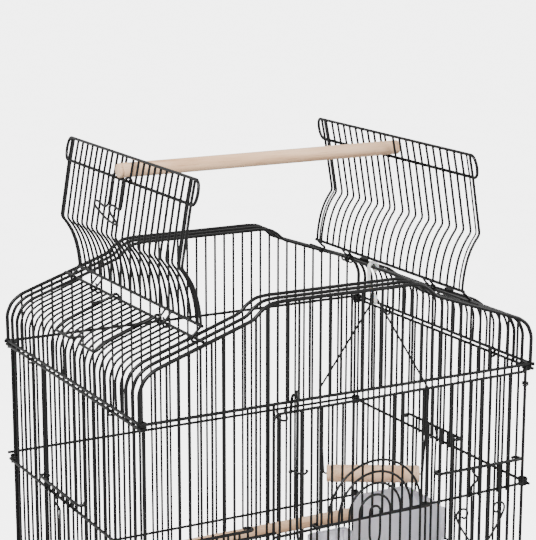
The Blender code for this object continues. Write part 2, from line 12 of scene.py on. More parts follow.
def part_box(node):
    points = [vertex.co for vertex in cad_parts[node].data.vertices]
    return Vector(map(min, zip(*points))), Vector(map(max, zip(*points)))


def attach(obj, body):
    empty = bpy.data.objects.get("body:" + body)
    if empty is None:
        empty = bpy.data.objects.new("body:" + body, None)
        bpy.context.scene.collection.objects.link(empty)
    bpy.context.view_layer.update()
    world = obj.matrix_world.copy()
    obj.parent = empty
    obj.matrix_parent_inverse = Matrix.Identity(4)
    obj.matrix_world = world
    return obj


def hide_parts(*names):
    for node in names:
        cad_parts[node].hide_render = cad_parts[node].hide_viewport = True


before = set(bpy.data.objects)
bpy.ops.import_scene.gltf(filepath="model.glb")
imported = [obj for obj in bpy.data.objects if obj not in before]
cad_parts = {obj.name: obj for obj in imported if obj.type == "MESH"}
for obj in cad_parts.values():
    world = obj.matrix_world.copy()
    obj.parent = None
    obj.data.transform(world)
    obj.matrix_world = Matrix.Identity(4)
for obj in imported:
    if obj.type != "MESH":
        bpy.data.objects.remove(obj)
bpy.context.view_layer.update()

# ---------------------------------------------------------------- main sizes
Z_TOP = 1.510                    # top rail of the cage body
HALF_X = 0.2325                  # side wall planes
HALF_Y = 0.180                   # front and back wall planes
CORNER_X = 0.2285                # corner posts
CORNER_Y = 0.1755
OVERHANG = 0.005                 # rails run past the corners
FRONT_LEVELS = (-0.002, -0.138, -0.262, -0.420, -0.578, -0.735)
SIDE_LEVELS = (-0.0045, -0.142, -0.266, -0.424, -0.582, -0.739)
BACK_LEVELS = (-0.002, -0.133, -0.265, -0.420, -0.578, -0.735)
RIGHT_LEVELS = (-0.0045, -0.1365, -0.264, -0.424, -0.582, -0.739)
LEVEL_B, LEVEL_C, LEVEL_D = FRONT_LEVELS[1:4]
DOOR_SAG = 0.0068                # the main door's upper rail is this much lower at its free side
R_WIRE = 0.00135                 # plain bars
R_FINE = 0.0013                  # edge bars, cross wires, latch wires and cup rims
R_THIN = 0.0012                  # hooks, scrolls, pulls and the swing's wire
R_SILL = 0.0014                  # sills, shelf ribs and the small door's top bar
R_COIL = 0.0008                  # hinge and stay coils
R_RAIL = 0.0017
R_POST = 0.0016
PAST = 0.002                     # bars run this far past the rails they are welded to
POST_PAST = 0.004
POST_IN = 0.0014                 # posts stand this far inside the wall plane
GAPS_X = 37                      # bar gaps across the front and along a side
GAPS_Y = 27
RAIL_OUT = 0.0012                # rails are welded outside the wires
WIRE_IN = 0.0010
HINGE = (0.1625, 0.0735)         # roof hinge rail, x and height
HOOK_R = 0.0040
RING_R = HOOK_R + 0.0006         # rings that slide on a door's edge bars

# Half of the roof's ogee, from the foot of the shoulder to the middle.
OGEE = (
    (0.2335, -0.003), (0.2337, 0.020), (0.2335, 0.031), (0.2305, 0.0395), (0.2267, 0.0453),
    (0.2190, 0.0512), (0.2085, 0.0558), (0.1625, 0.0714), (0.1200, 0.0860), (0.1085, 0.0905),
    (0.0990, 0.0985), (0.0885, 0.1040), (0.0750, 0.1055))
# A roof side bar, from the foot of the shoulder up to the hinge rail.
SHOULDER = (
    (0.2332, 0.000), (0.2337, 0.020), (0.2335, 0.031), (0.2305, 0.0402), (0.2267, 0.0460),
    (0.2190, 0.0518), (0.2085, 0.0563), (0.1612, 0.0735))
HOOPS_Y = (0.180, 0.1645, 0.149)
ROOF_RAIL_Z = 0.0006
# Section of an open flap: a curved foot, one sharp bend, then a straight run up to its rails.
FLAP = (
    (0.156, 0.0853), (0.1566, 0.0950), (0.1583, 0.1060), (0.1610, 0.1175), (0.1652, 0.1285),
    (0.1704, 0.1375), (0.1765, 0.1455), (0.166, 0.208), (0.161, 0.2326))
# Ring at a flap's end: share of the way from the middle rail to the top rail, and distance past the stile.
FLAP_RING = (
    (0.0, 0.0), (0.0, 0.0045), (0.15, 0.0090), (0.5, 0.0108), (0.85, 0.0090), (1.0, 0.0045), (1.0, 0.0))
FLAP_NODES = ("", "_stile_front", "_stile_back", "_rail_front", "_rail_back", "_rail_middle")
FLAP_GAPS = 23
FLAP_FRONT, FLAP_BACK = -0.159, 0.1505      # stiles of a flap
HOOK_PAIRS_Y = (0.096, 0.082, -0.079, -0.093)

DOOR_Y = -0.185                  # main door
DOOR_LEFT_X = -0.088
DOOR_RIGHT_X = 0.224
DOOR_TOP_LEFT, DOOR_TOP_RIGHT = -0.0098, -0.0062
DOOR_BOTTOM = -0.4155
OPENING_LEFT = -0.0845
INNER_Y = -0.1895                # small sliding door in the main door
INNER_LEFT, INNER_RIGHT = -0.036, 0.098
ARCH_X = 0.031
ARCHES = 5
ARCH_STEP = 0.0126
ARCH_LIFT = 0.006
FEEDER_INNER, FEEDER_OUTER = 0.1145, 0.2155
FEEDER_BARS = 7
EDGE_CLEAR = 0.0040              # no plain bar stands this close to an opening's edge bar
SIDE_FEEDER_HALF = 0.052
SIDE_FEEDER_CENTRE = {-1: 0.030, 1: 0.005}


# ---------------------------------------------------------------- materials
def new_material(name):
    mat = bpy.data.materials.new(name)
    mat.use_nodes = True
    return mat, mat.node_tree, mat.node_tree.nodes["Principled BSDF"]


def add_node(tree, kind, **inputs):
    node = tree.nodes.new(kind)
    for key, value in inputs.items():
        node.inputs[key.replace("_", " ")].default_value = value
    return node


def noise_on(tree, scale, detail=4.0, stretch=(1.0, 1.0, 1.0), turn=(0.0, 0.0, 0.0)):
    """Noise in the piece's own coordinates, stretched along its grain."""
    place = tree.nodes.new("ShaderNodeTexCoord")
    mapping = add_node(tree, "ShaderNodeMapping", Scale=stretch, Rotation=turn)
    noise = add_node(tree, "ShaderNodeTexNoise", Scale=scale, Detail=detail, Roughness=0.6)
    tree.links.new(place.outputs["Object"], mapping.inputs["Vector"])
    tree.links.new(mapping.outputs["Vector"], noise.inputs["Vector"])
    return noise


def ramp_from(tree, source, stops):
    ramp = tree.nodes.new("ShaderNodeValToRGB")
    elements = ramp.color_ramp.elements
    while len(elements) < len(stops):
        elements.new(0.5)
    for element, (position, color) in zip(elements, stops):
        element.position = position
        element.color = (*color, 1.0)
    tree.links.new(source, ramp.inputs["Fac"])
    return ramp


def rough_from(tree, shader, source, low, high):
    span = add_node(tree, "ShaderNodeMapRange")
    span.inputs["From Min"].default_value = 0.3
    span.inputs["From Max"].default_value = 0.7
    span.inputs["To Min"].default_value = low
    span.inputs["To Max"].default_value = high
    tree.links.new(source, span.inputs["Value"])
    tree.links.new(span.outputs["Result"], shader.inputs["Roughness"])


def bump_from(tree, shader, source, strength, distance):
    bump = add_node(tree, "ShaderNodeBump", Strength=strength, Distance=distance)
    tree.links.new(source, bump.inputs["Height"])
    tree.links.new(bump.outputs["Normal"], shader.inputs["Normal"])


def coated(name, dark, light, rough, peel, coat=0.05):
    """Powder coat: almost even colour, slightly patchy gloss and a fine orange peel."""
    mat, tree, shader = new_material(name)
    patches = noise_on(tree, 45.0)
    ramp = ramp_from(tree, patches.outputs["Fac"], ((0.35, dark), (0.65, light)))
    tree.links.new(ramp.outputs["Color"], shader.inputs["Base Color"])
    rough_from(tree, shader, patches.outputs["Fac"], *rough)
    bump_from(tree, shader, noise_on(tree, peel, 2.0).outputs["Fac"], 0.25, 0.0002)
    shader.inputs["Coat Weight"].default_value = coat
    shader.inputs["Coat Roughness"].default_value = 0.18
    shader.inputs["Specular IOR Level"].default_value = 0.22
    return mat


def dowel_wood(name, turn=(0.0, 0.0, 0.0), warm=1.0):
    """Planed pale dowel: long soft grain along X, short dark pores and growth rings on the ends."""
    mat, tree, shader = new_material(name)
    grain = noise_on(tree, 60.0, 5.0, (0.10, 1.0, 1.0), turn)
    stops = ((0.30, (0.60 * warm, 0.35, 0.19)), (0.48, (0.80 * warm, 0.52, 0.32)), (0.72, (0.90, 0.65, 0.45)))
    ramp = ramp_from(tree, grain.outputs["Fac"], stops)
    pores = noise_on(tree, 420.0, 3.0, (0.05, 1.0, 1.0), turn)
    dark = ramp_from(tree, pores.outputs["Fac"], ((0.30, (0.60, 0.50, 0.42)), (0.42, (1.0, 1.0, 1.0))))
    mix = tree.nodes.new("ShaderNodeMix")
    mix.data_type = "RGBA"
    mix.blend_type = "MULTIPLY"
    mix.inputs["Factor"].default_value = 0.7
    tree.links.new(ramp.outputs["Color"], mix.inputs["A"])
    tree.links.new(dark.outputs["Color"], mix.inputs["B"])
    tree.links.new(mix.outputs["Result"], shader.inputs["Base Color"])
    rough_from(tree, shader, grain.outputs["Fac"], 0.62, 0.48)
    bump_from(tree, shader, pores.outputs["Fac"], 0.35, 0.0003)
    return mat


def moulded(name, dark, light, rough, grain, clear=0.0, scatter=0.0):
    """Moulded plastic: soft colour drift, fine texture; clear lets light through."""
    mat, tree, shader = new_material(name)
    drift = noise_on(tree, 22.0)
    ramp = ramp_from(tree, drift.outputs["Fac"], ((0.35, dark), (0.65, light)))
    tree.links.new(ramp.outputs["Color"], shader.inputs["Base Color"])
    rough_from(tree, shader, drift.outputs["Fac"], *rough)
    bump_from(tree, shader, noise_on(tree, grain, 2.0).outputs["Fac"], 0.2, 0.0002)
    shader.inputs["Transmission Weight"].default_value = clear
    shader.inputs["Subsurface Weight"].default_value = scatter
    shader.inputs["Subsurface Scale"].default_value = 0.004
    return mat


COAT = coated("black_powder_coat", (0.003, 0.003, 0.003), (0.008, 0.008, 0.008), (0.28, 0.40), 900.0)
SHEET = coated("black_sheet_coat", (0.010, 0.010, 0.011), (0.022, 0.022, 0.024), (0.34, 0.46), 1400.0, 0.10)
DOWEL = dowel_wood("dowel_wood")
SWING_WOOD = dowel_wood("swing_dowel_wood", (0.0, 0.0, math.radians(30.0)), 1.04)
CUP = moulded("translucent_cup_plastic", (0.66, 0.65, 0.71), (0.76, 0.75, 0.81), (0.30, 0.40), 500.0,
              0.45, 0.1)
WHITE = moulded("white_hook_plastic", (0.80, 0.80, 0.79), (0.90, 0.90, 0.89), (0.30, 0.38), 700.0, 0.15, 0.2)
TRAY = moulded("tray_plastic", (0.020, 0.020, 0.021), (0.034, 0.034, 0.036), (0.45, 0.58), 1200.0)
CASTER = moulded("caster_plastic", (0.025, 0.025, 0.026), (0.045, 0.045, 0.047), (0.38, 0.50), 900.0)
TYRE = moulded("tyre_rubber", (0.018, 0.018, 0.018), (0.045, 0.043, 0.041), (0.62, 0.80), 1600.0)
STEEL = coated("bright_zinc", (0.42, 0.42, 0.43), (0.56, 0.56, 0.57), (0.28, 0.40), 800.0, 0.0)
STEEL.node_tree.nodes["Principled BSDF"].inputs["Metallic"].default_value = 1.0


# ---------------------------------------------------------------- building tools
def place_piece(name, mesh, mat, body, stands_for=()):
    for polygon in mesh.polygons:
        polygon.use_smooth = True
    mesh.materials.clear()
    mesh.materials.append(mat)
    piece = bpy.data.objects.new(name, mesh)
    bpy.context.scene.collection.objects.link(piece)
    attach(piece, body)
    if stands_for:
        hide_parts(*stands_for)
    return piece


def baked(holder):
    """The evaluated mesh of a helper object, which is then removed."""
    bpy.context.view_layer.update()
    graph = bpy.context.evaluated_depsgraph_get()
    mesh = bpy.data.meshes.new_from_object(holder.evaluated_get(graph))
    bpy.data.objects.remove(holder, do_unlink=True)
    return mesh


def tubes(name, runs, body, mat=None, stands_for=(), sides=2):
    """Round wires in one piece, heights from the top rail.

    Each run is (points, radius), or (points, radius, "loop") for a closed one.
    """
    curve = bpy.data.curves.new(name, "CURVE")
    curve.dimensions = "3D"
    curve.bevel_depth = 0.001
    curve.bevel_resolution = sides
    curve.use_fill_caps = True
    for run in runs:
        points, radius = run[0], run[1]
        spline = curve.splines.new("POLY")
        spline.points.add(len(points) - 1)
        for target, point in zip(spline.points, points):
            target.co = (point[0], point[1], point[2] + Z_TOP, 1.0)
            target.radius = radius / 0.001
        spline.use_cyclic_u = len(run) > 2
    holder = bpy.data.objects.new(name, curve)
    bpy.context.scene.collection.objects.link(holder)
    mesh = baked(holder)
    return place_piece(name, mesh, mat or COAT, body, stands_for)


def refined(name, node, mat, body, bevel, segments=2):
    """The CAD node's shape with rounded edges."""
    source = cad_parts[node]
    holder = bpy.data.objects.new(name, source.data.copy())
    bpy.context.scene.collection.objects.link(holder)
    merged = bmesh.new()
    merged.from_mesh(holder.data)
    bmesh.ops.remove_doubles(merged, verts=merged.verts, dist=0.00001)
    bmesh.ops.dissolve_limit(merged, angle_limit=math.radians(1.0), verts=merged.verts, edges=merged.edges)
    merged.to_mesh(holder.data)
    merged.free()
    rounding = holder.modifiers.new("rounding", "BEVEL")
    rounding.width = bevel
    rounding.segments = segments
    rounding.limit_method = "ANGLE"
    rounding.angle_limit = math.radians(40.0)
    rounding.harden_normals = True
    mesh = baked(holder)
    return place_piece(name, mesh, mat, body, (node,))


def turned(name, profile, start, axis, mat, body, stands_for=(), segments=28):
    """A lathe shape: profile is (distance along the axis, radius) pairs; its ends lie on the axis."""
    shell = bmesh.new()
    rows = []
    for along, radius in profile:
        ring = []
        for number in range(segments):
            angle = 2 * math.pi * number / segments
            ring.append(shell.verts.new((radius * math.cos(angle), radius * math.sin(angle), along)))
        rows.append(ring)
    for low, high in zip(rows, rows[1:]):
        for number in range(segments):
            other = (number + 1) % segments
            shell.faces.new((low[number], low[other], high[other], high[number]))
    shell.faces.new(list(reversed(rows[0])))
    shell.faces.new(rows[-1])
    turn = Vector(axis).to_track_quat("Z", "Y").to_matrix().to_4x4()
    shell.transform(Matrix.Translation(Vector(start)) @ turn)
    bmesh.ops.recalc_face_normals(shell, faces=shell.faces)
    mesh = bpy.data.meshes.new(name)
    shell.to_mesh(mesh)
    shell.free()
    return place_piece(name, mesh, mat, body, stands_for)


def smooth(points, per=5):
    """Points of a Catmull-Rom curve through the given ones."""
    vectors = [Vector(point) for point in points]
    ends = [2 * vectors[0] - vectors[1]] + vectors + [2 * vectors[-1] - vectors[-2]]
    result = []
    for index in range(1, len(ends) - 2):
        p0, p1, p2, p3 = ends[index - 1:index + 3]
        for step in range(per):
            t = step / per
            result.append(0.5 * (2 * p1 + (p2 - p0) * t + (2 * p0 - 5 * p1 + 4 * p2 - p3) * t ** 2
                                 + (3 * p1 - p0 - 3 * p2 + p3) * t ** 3))
    result.append(vectors[-1])
    return result


def bend(points, radius, steps=4):
    """A path of straight runs with its corners bent round, as wire is."""
    vectors = [Vector(point) for point in points]
    result = [vectors[0]]
    for before, corner, after in zip(vectors, vectors[1:], vectors[2:]):
        cut_in = min(radius, (corner - before).length * 0.48)
        cut_out = min(radius, (after - corner).length * 0.48)
        start = corner + (before - corner).normalized() * cut_in
        end = corner + (after - corner).normalized() * cut_out
        for step in range(steps + 1):
            t = step / steps
            result.append(start * (1 - t) ** 2 + corner * 2 * t * (1 - t) + end * t ** 2)
    result.append(vectors[-1])
    return result


def arc(centre, radius, start, end, count):
    """Points (u, v) on a circle, angles in degrees."""
    points = []
    for number in range(count + 1):
        angle = math.radians(start + (end - start) * number / count)
        points.append((centre[0] + radius * math.cos(angle), centre[1] + radius * math.sin(angle)))
    return points


def coil(start, end, radius, turns, per=10):
    """A close spiral of wire wound round the line from start to end."""
    start, end = Vector(start), Vector(end)
    turn = (end - start).to_track_quat("Z", "Y")
    points = []
    for number in range(turns * per + 1):
        angle = 2 * math.pi * number / per
        round_it = turn @ Vector((radius * math.cos(angle), radius * math.sin(angle), 0.0))
        points.append(start.lerp(end, number / (turns * per)) + round_it)
    return points


def rounded_loop(low, high, inset, z, corner, steps=4):
    """A closed rounded rectangle at one height, inset from a box's low and high corners."""
    x_low, x_high = low.x + inset, high.x - inset
    y_low, y_high = low.y + inset, high.y - inset
    middle = (x_low + x_high) / 2
    corners = [(middle, y_low, z), (x_high, y_low, z), (x_high, y_high, z), (x_low, y_high, z),
               (x_low, y_low, z), (middle, y_low, z)]
    return bend(corners, corner, steps)[:-1]


def height_on(outline, x):
    """Height of an outline at one x."""
    for (x0, z0), (x1, z1) in zip(outline, outline[1:]):
        if min(x0, x1) <= abs(x) <= max(x0, x1) and x0 != x1:
            return z0 + (z1 - z0) * (abs(x) - x0) / (x1 - x0)
    return outline[-1][1]


def bar_places(half, gaps):
    """Evenly spaced places between -half and half, without the ends."""
    step = 2 * half / gaps
    return [-half + step * number for number in range(1, gaps)]


def between(value, low, high, margin=0.0):
    return low + margin < value < high - margin


# ---------------------------------------------------------------- front wall
def front_at(x, z, out=0.0):
    return (x, -HALF_Y - out, z)


def upright(x, low, high, y, radius=R_WIRE):
    return ([(x, y, high), (x, y, low)], radius)


FRONT_BARS = bar_places(CORNER_X, GAPS_X)
top, floor_level = FRONT_LEVELS[0], FRONT_LEVELS[-1]
in_y = -HALF_Y + WIRE_IN
runs = []
for x in FRONT_BARS:
    if min(abs(x + FEEDER_OUTER), abs(x + FEEDER_INNER)) < EDGE_CLEAR:
        continue
    if x > OPENING_LEFT + EDGE_CLEAR:
        runs.append(upright(x, floor_level - PAST, LEVEL_D + PAST, in_y))
    elif between(x, -FEEDER_OUTER, -FEEDER_INNER):
        runs.append(upright(x, LEVEL_B - PAST, top + PAST, in_y))
        runs.append(upright(x, floor_level - PAST, LEVEL_C + PAST, in_y))
    elif abs(x - OPENING_LEFT) > EDGE_CLEAR:
        runs.append(upright(x, floor_level - PAST, top + PAST, in_y))
for x in (-FEEDER_OUTER, -FEEDER_INNER):
    runs.append(upright(x, floor_level - PAST, top + PAST, in_y, R_FINE))
tubes("front_wall_bars", runs, "cage", stands_for=("wall_front_beside_door",))
runs = []
reach = HALF_X + OVERHANG
for z in FRONT_LEVELS[1:]:
    right = OPENING_LEFT + 0.001 if z in (LEVEL_B, LEVEL_C) else reach
    runs.append(([front_at(-reach, z, RAIL_OUT), front_at(right, z, RAIL_OUT)], R_RAIL))
for x in (-CORNER_X, OPENING_LEFT):
    runs.append(upright(x, floor_level - POST_PAST, top + PAST, -HALF_Y + POST_IN, R_POST))
# The keeper is a small loop beside the latch rod.
keeper_x, near_y, far_y = OPENING_LEFT + 0.0065, -HALF_Y - 0.0010, -HALF_Y - 0.0095
keeper = [(keeper_x - 0.0045, near_y, -0.0075), (keeper_x - 0.0040, far_y, -0.0160),
          (keeper_x + 0.0040, far_y, -0.0160), (keeper_x + 0.0045, near_y, -0.0075)]
runs.append((bend(keeper, 0.004), R_THIN))
tubes("front_wall_rails", runs, "cage", stands_for=("wall_front_below_door",), sides=3)
runs = [upright(CORNER_X, floor_level - POST_PAST, PAST, -HALF_Y + POST_IN, R_POST)]
tubes("door_hinge_post", runs, "cage", stands_for=("door_post",), sides=3)
for name, high, low in (("upper", -0.0182, -0.0218), ("lower", -0.3582, -0.3618)):
    winding = coil((DOOR_RIGHT_X, DOOR_Y, high), (DOOR_RIGHT_X, DOOR_Y, low), 0.0032, 2)
    tubes("hinge_coil_" + name, [(winding, R_COIL)], "cage", stands_for=("hinge_eye_" + name,), sides=3)

# ---------------------------------------------------------------- back wall
runs = [upright(x, floor_level - PAST, top + PAST, HALF_Y - WIRE_IN) for x in FRONT_BARS]
for z in BACK_LEVELS[1:]:
    runs.append(([(-reach, HALF_Y + RAIL_OUT, z), (reach, HALF_Y + RAIL_OUT, z)], R_RAIL))
for x in (-CORNER_X, CORNER_X):
    runs.append(upright(x, floor_level - POST_PAST, top + PAST, HALF_Y - POST_IN, R_POST))
tubes("back_wall", runs, "cage", stands_for=("wall_back",))


# ---------------------------------------------------------------- side walls
def side_wall(name, node, side):
    """One side wall with the gap for its feeder door."""
    centre = SIDE_FEEDER_CENTRE[side]
    edges = (centre - SIDE_FEEDER_HALF, centre + SIDE_FEEDER_HALF)
    wire_x = side * (HALF_X - WIRE_IN)
    levels = SIDE_LEVELS if side < 0 else RIGHT_LEVELS
    high, b_level, c_level, low = levels[0] + PAST, levels[1], levels[2], levels[-1] + PAST

    def bar(y, start, end, radius=R_WIRE):
        return ([(wire_x, y, start), (wire_x, y, end)], radius)

    wires = []
    for y in bar_places(CORNER_Y, GAPS_Y):
        if min(abs(y - edge) for edge in edges) < EDGE_CLEAR:
            continue
        if between(y, *edges):
            wires.append(bar(y, high, b_level - PAST))
            wires.append(bar(y, c_level + PAST, low))
        else:
            wires.append(bar(y, high, low))
    wires += [bar(y, high, low, R_FINE) for y in edges]
    for z in levels:
        rail_x = side * (HALF_X + RAIL_OUT)
        reach = HALF_Y + OVERHANG
        wires.append(([(rail_x, -reach, z), (rail_x, reach, z)], R_RAIL))
    for y in (-CORNER_Y, CORNER_Y):
        wires.append(bar(y, high + PAST, low))
    tubes(name, wires, "cage", stands_for=(node,))


side_wall("left_wall", "wall_left", -1)
side_wall("right_wall", "wall_right", 1)

# Wire wound round the posts where two walls meet.
KNOT_R, KNOT_HALF, KNOT_TURNS = 0.0045, 0.0040, 4
KNOT_X, KNOT_Y = 0.2305, 0.1778
runs = []
for side_x, side_levels in ((-1, SIDE_LEVELS), (1, RIGHT_LEVELS)):
    for side_y in (-1, 1):
        for level in side_levels:
            x, y, middle = side_x * KNOT_X, side_y * KNOT_Y, level + 0.002
            upper, lower = (x, y, middle + KNOT_HALF), (x, y, middle - KNOT_HALF)
            runs.append((coil(upper, lower, KNOT_R, KNOT_TURNS), 0.0010))
tubes("corner_knots", runs, "cage")


# ---------------------------------------------------------------- roof ends and sides
def across(outline, y):
    """The whole outline over the roof at one y, left foot to right foot."""
    half = smooth([(x, y, z) for x, z in outline])
    return [Vector((-point.x, point.y, point.z)) for point in half] + list(reversed(half))


R_HOOP_END, R_HOOP = 0.0021, 0.0019
ogee_line = [(point.x, point.z) for point in smooth([(x, 0.0, z) for x, z in OGEE])]
for name, node, sign in (("front_gable", "gable_front", -1), ("back_gable", "gable_back", 1)):
    runs = []
    for number, y in enumerate(HOOPS_Y):
        runs.append((across(OGEE, sign * y), R_HOOP_END if number == 0 else R_HOOP))
    y = sign * HALF_Y
    bar_y = y - sign * WIRE_IN
    for x in FRONT_BARS:
        runs.append(([(x, bar_y, -0.001), (x, bar_y, height_on(ogee_line, x))], R_WIRE))
    runs.append(([(-reach, y + sign * RAIL_OUT, 0.0), (reach, y + sign * RAIL_OUT, 0.0)], R_RAIL))
    tubes(name, runs, "cage", stands_for=(node,), sides=3)

RAIL_END_Y, HINGE_END_Y = 0.186, 0.178
CLIP_Y, CLIP_HALF = 0.110, 0.0012      # clips that tie a roof side to its wall
for name, node, side in (("left_roof", "roof_left", -1), ("right_roof", "roof_right", 1)):
    section = smooth([(side * x, 0.0, z) for x, z in SHOULDER])
    runs = []
    for y in bar_places(CORNER_Y, GAPS_Y):
        if abs(y) < HOOPS_Y[-1] - 0.004:
            runs.append(([(point.x, y, point.z) for point in section], R_WIRE))
    rail_x = side * (HALF_X + RAIL_OUT)
    runs.append(([(rail_x, -RAIL_END_Y, ROOF_RAIL_Z), (rail_x, RAIL_END_Y, ROOF_RAIL_Z)], R_RAIL))
    hinge_x = side * HINGE[0]
    runs.append(([(hinge_x, -HINGE_END_Y, HINGE[1]), (hinge_x, HINGE_END_Y, HINGE[1])], R_RAIL))
    out, inside = rail_x + side * 0.0026, rail_x - side * 0.0026
    for y in (-CLIP_Y, CLIP_Y):
        loop = bend([(out, y, 0.0010), (out, y, -0.0088), (inside, y, -0.0088), (inside, y, 0.0012),
                     (rail_x + side * 0.0012, y, 0.0016)], 0.0024)
        for shift in (-CLIP_HALF, CLIP_HALF):
            runs.append(([point + Vector((0.0, shift, 0.0)) for point in loop], 0.0009))
    tubes(name, runs, "cage", stands_for=(node,), sides=3)


# ---------------------------------------------------------------- roof flaps, folded up as play rails
R_STILE = 0.0015


def hook_round(centre, side, y, start, end, count=10):
    return [(side * x, y, z) for x, z in arc(centre, HOOK_R, start, end, count)]


def flap(name, side):
    """An open roof flap: bars, stiles that hook round the hinge rail, and a ring at the top."""
    section = [(side * x, z) for x, z in FLAP]
    cross, crown = Vector(section[-2]), Vector(section[-1])
    step = (FLAP_BACK - FLAP_FRONT) / FLAP_GAPS

    def upright_at(y, inset=0.0, push=0.0):
        last = len(section) - 2
        points = []
        for index, (x, z) in enumerate(section):
            points.append((x - side * inset, y + push * min(1.0, index / last), z))
        return bend(points, 0.003, 2)

    runs = []
    for number in range(1, FLAP_GAPS):
        y = FLAP_FRONT + step * number
        spread = 0.0037 if abs(y) < 0.75 * step else 0.0
        runs.append((upright_at(y, 0.0018, math.copysign(spread, y)), R_WIRE))
    for y, inward in ((FLAP_FRONT, 1), (FLAP_BACK, -1)):
        tail = hook_round(HINGE, side, y, -150, 75)
        runs.append((tail + upright_at(y), R_STILE))
        runs.append((upright_at(y + inward * 0.0060), 0.0010))
    foot_x, foot_z = section[0]
    for y in HOOK_PAIRS_Y:
        curl = hook_round(HINGE, side, y, -230, 75)
        runs.append((curl + [(foot_x, y, foot_z + 0.0010)], R_THIN))
    rail_front, rail_back = FLAP_FRONT - 0.003, FLAP_BACK + 0.003
    runs.append(([(foot_x, rail_front, foot_z), (foot_x, rail_back, foot_z)], R_RAIL))
    runs.append(([(cross.x, rail_front, cross.y), (cross.x, rail_back, cross.y)], R_RAIL))
    ring = []
    for edge, sign in ((FLAP_BACK, 1), (FLAP_FRONT, -1)):
        for along, out in FLAP_RING:
            spot = cross.lerp(crown, along if sign > 0 else 1.0 - along)
            ring.append((spot.x, edge + sign * out, spot.y))
    half = len(ring) // 2
    runs.append((bend(ring[:half], 0.004) + bend(ring[half:], 0.004), R_RAIL, "loop"))
    parts = [name + ending for ending in FLAP_NODES]
    tubes(name + "_wires", runs, name, stands_for=parts, sides=3)


flap("top_door_left", -1)
flap("top_door_right", 1)


R_STAY = 0.0016


def stay(name, side, y_back, y_front):
    """A wire prop hooked on the hinge rail, with a notch in its far bar and coils on its arms."""
    far_x, far_z = side * 0.2325, 0.0462
    over = ((side * 0.2205, 0.0548), (side * 0.2070, 0.0600))
    middle = (y_back + y_front) / 2
    outer = [(x, y_back, z) for x, z in reversed(over)]
    outer += [(far_x, y_back, far_z), (far_x, middle + 0.012, far_z), (side * 0.2225, middle, far_z + 0.004),
              (far_x, middle - 0.012, far_z), (far_x, y_front, far_z)]
    outer += [(x, y_front, z) for x, z in over]
    near = hook_round(HINGE, side, y_back, 235, 20)
    away = hook_round(HINGE, side, y_front, 20, 235)
    runs = [(near + bend([near[-1]] + outer + [away[0]], 0.005)[1:-1] + away, R_STAY)]
    for y in (y_back, y_front):
        low = Vector((side * 0.180, y, HINGE[1] - 0.0028))
        high = Vector((side * 0.190, y, HINGE[1] - 0.0050))
        runs.append((coil(low, high, 0.0019, 7, 8), R_COIL))
    tubes(name + "_wire", runs, name, stands_for=(name,), sides=3)


stay("stay_left", -1, 0.036, -0.070)
stay("stay_right", 1, 0.088, -0.092)

# The top latch hangs on the left flap's middle rail: down one arm, round its bow and finger, up the other.
ARM_BACK, ARM_FRONT = 0.0214, -0.0109
path = hook_round(FLAP[-2], -1, ARM_BACK, 200, -15)
path += [(-0.1738, ARM_BACK, 0.1840), (-0.1748, 0.0270, 0.1768), (-0.1748, 0.0355, 0.1757),
         (-0.1748, 0.0480, 0.1785), (-0.1752, 0.0570, 0.1775), (-0.1758, 0.0545, 0.1725),
         (-0.1768, 0.0330, 0.1665), (-0.1774, 0.0160, 0.1632), (-0.1782, -0.0070, 0.1620),
         (-0.1780, -0.0060, 0.1642), (-0.1768, 0.0120, 0.1715), (-0.1758, 0.0175, 0.1765),
         (-0.1752, 0.0130, 0.1800), (-0.1750, 0.0050, 0.1800), (-0.1750, -0.0040, 0.1783),
         (-0.1748, -0.0095, 0.1790), (-0.1736, ARM_FRONT, 0.1860)]
path += hook_round(FLAP[-2], -1, ARM_FRONT, -15, 200)
tubes("top_latch_wire", [(smooth(path, 3), R_FINE)], "top_latch", stands_for=("top_latch",), sides=3)


# ---------------------------------------------------------------- perches and swing
def dowel_profile(length, radius, groove_at, groove=0.0008):
    """Rounded ends and a turned groove near each end."""
    half = [(0.0, radius - 0.0012), (0.0006, radius - 0.0004), (0.0016, radius),
            (groove_at - 0.0010, radius), (groove_at - 0.0004, radius - groove),
            (groove_at + 0.0004, radius - groove), (groove_at + 0.0010, radius)]
    other = [(length - along, r) for along, r in reversed(half)]
    return half + other


def dowel(name, node, body, start, end, radius, mat, groove_at):
    start, axis = Vector(start), Vector(end) - Vector(start)
    profile = dowel_profile(axis.length, radius, groove_at)
    turned(name, profile, start, axis, mat, body, (node,), 32)


def dowel_along_x(name, node, body, groove_at):
    low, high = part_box(node)
    y, z = (low.y + high.y) / 2, (low.z + high.z) / 2
    dowel(name, node, body, (low.x, y, z), (high.x, y, z), (high.z - low.z) / 2 - 0.0001, DOWEL, groove_at)


dowel_along_x("play_perch_dowel", "play_perch", "play_perch", 0.0045)
for name in ("perch_upper", "perch_lower"):
    dowel_along_x(name + "_dowel", name, "cage", 0.0060)

SWING_Y = 0.032
SWING_TURN = math.radians(30.0)
PIVOT = (0.1665, SWING_Y, 0.0353)
BAR_Z = -0.180
BAR_HALF = 0.0555
BAR_R = 0.0104


def on_swing(along, z):
    return (PIVOT[0] + along * math.cos(SWING_TURN), PIVOT[1] - along * math.sin(SWING_TURN), z)


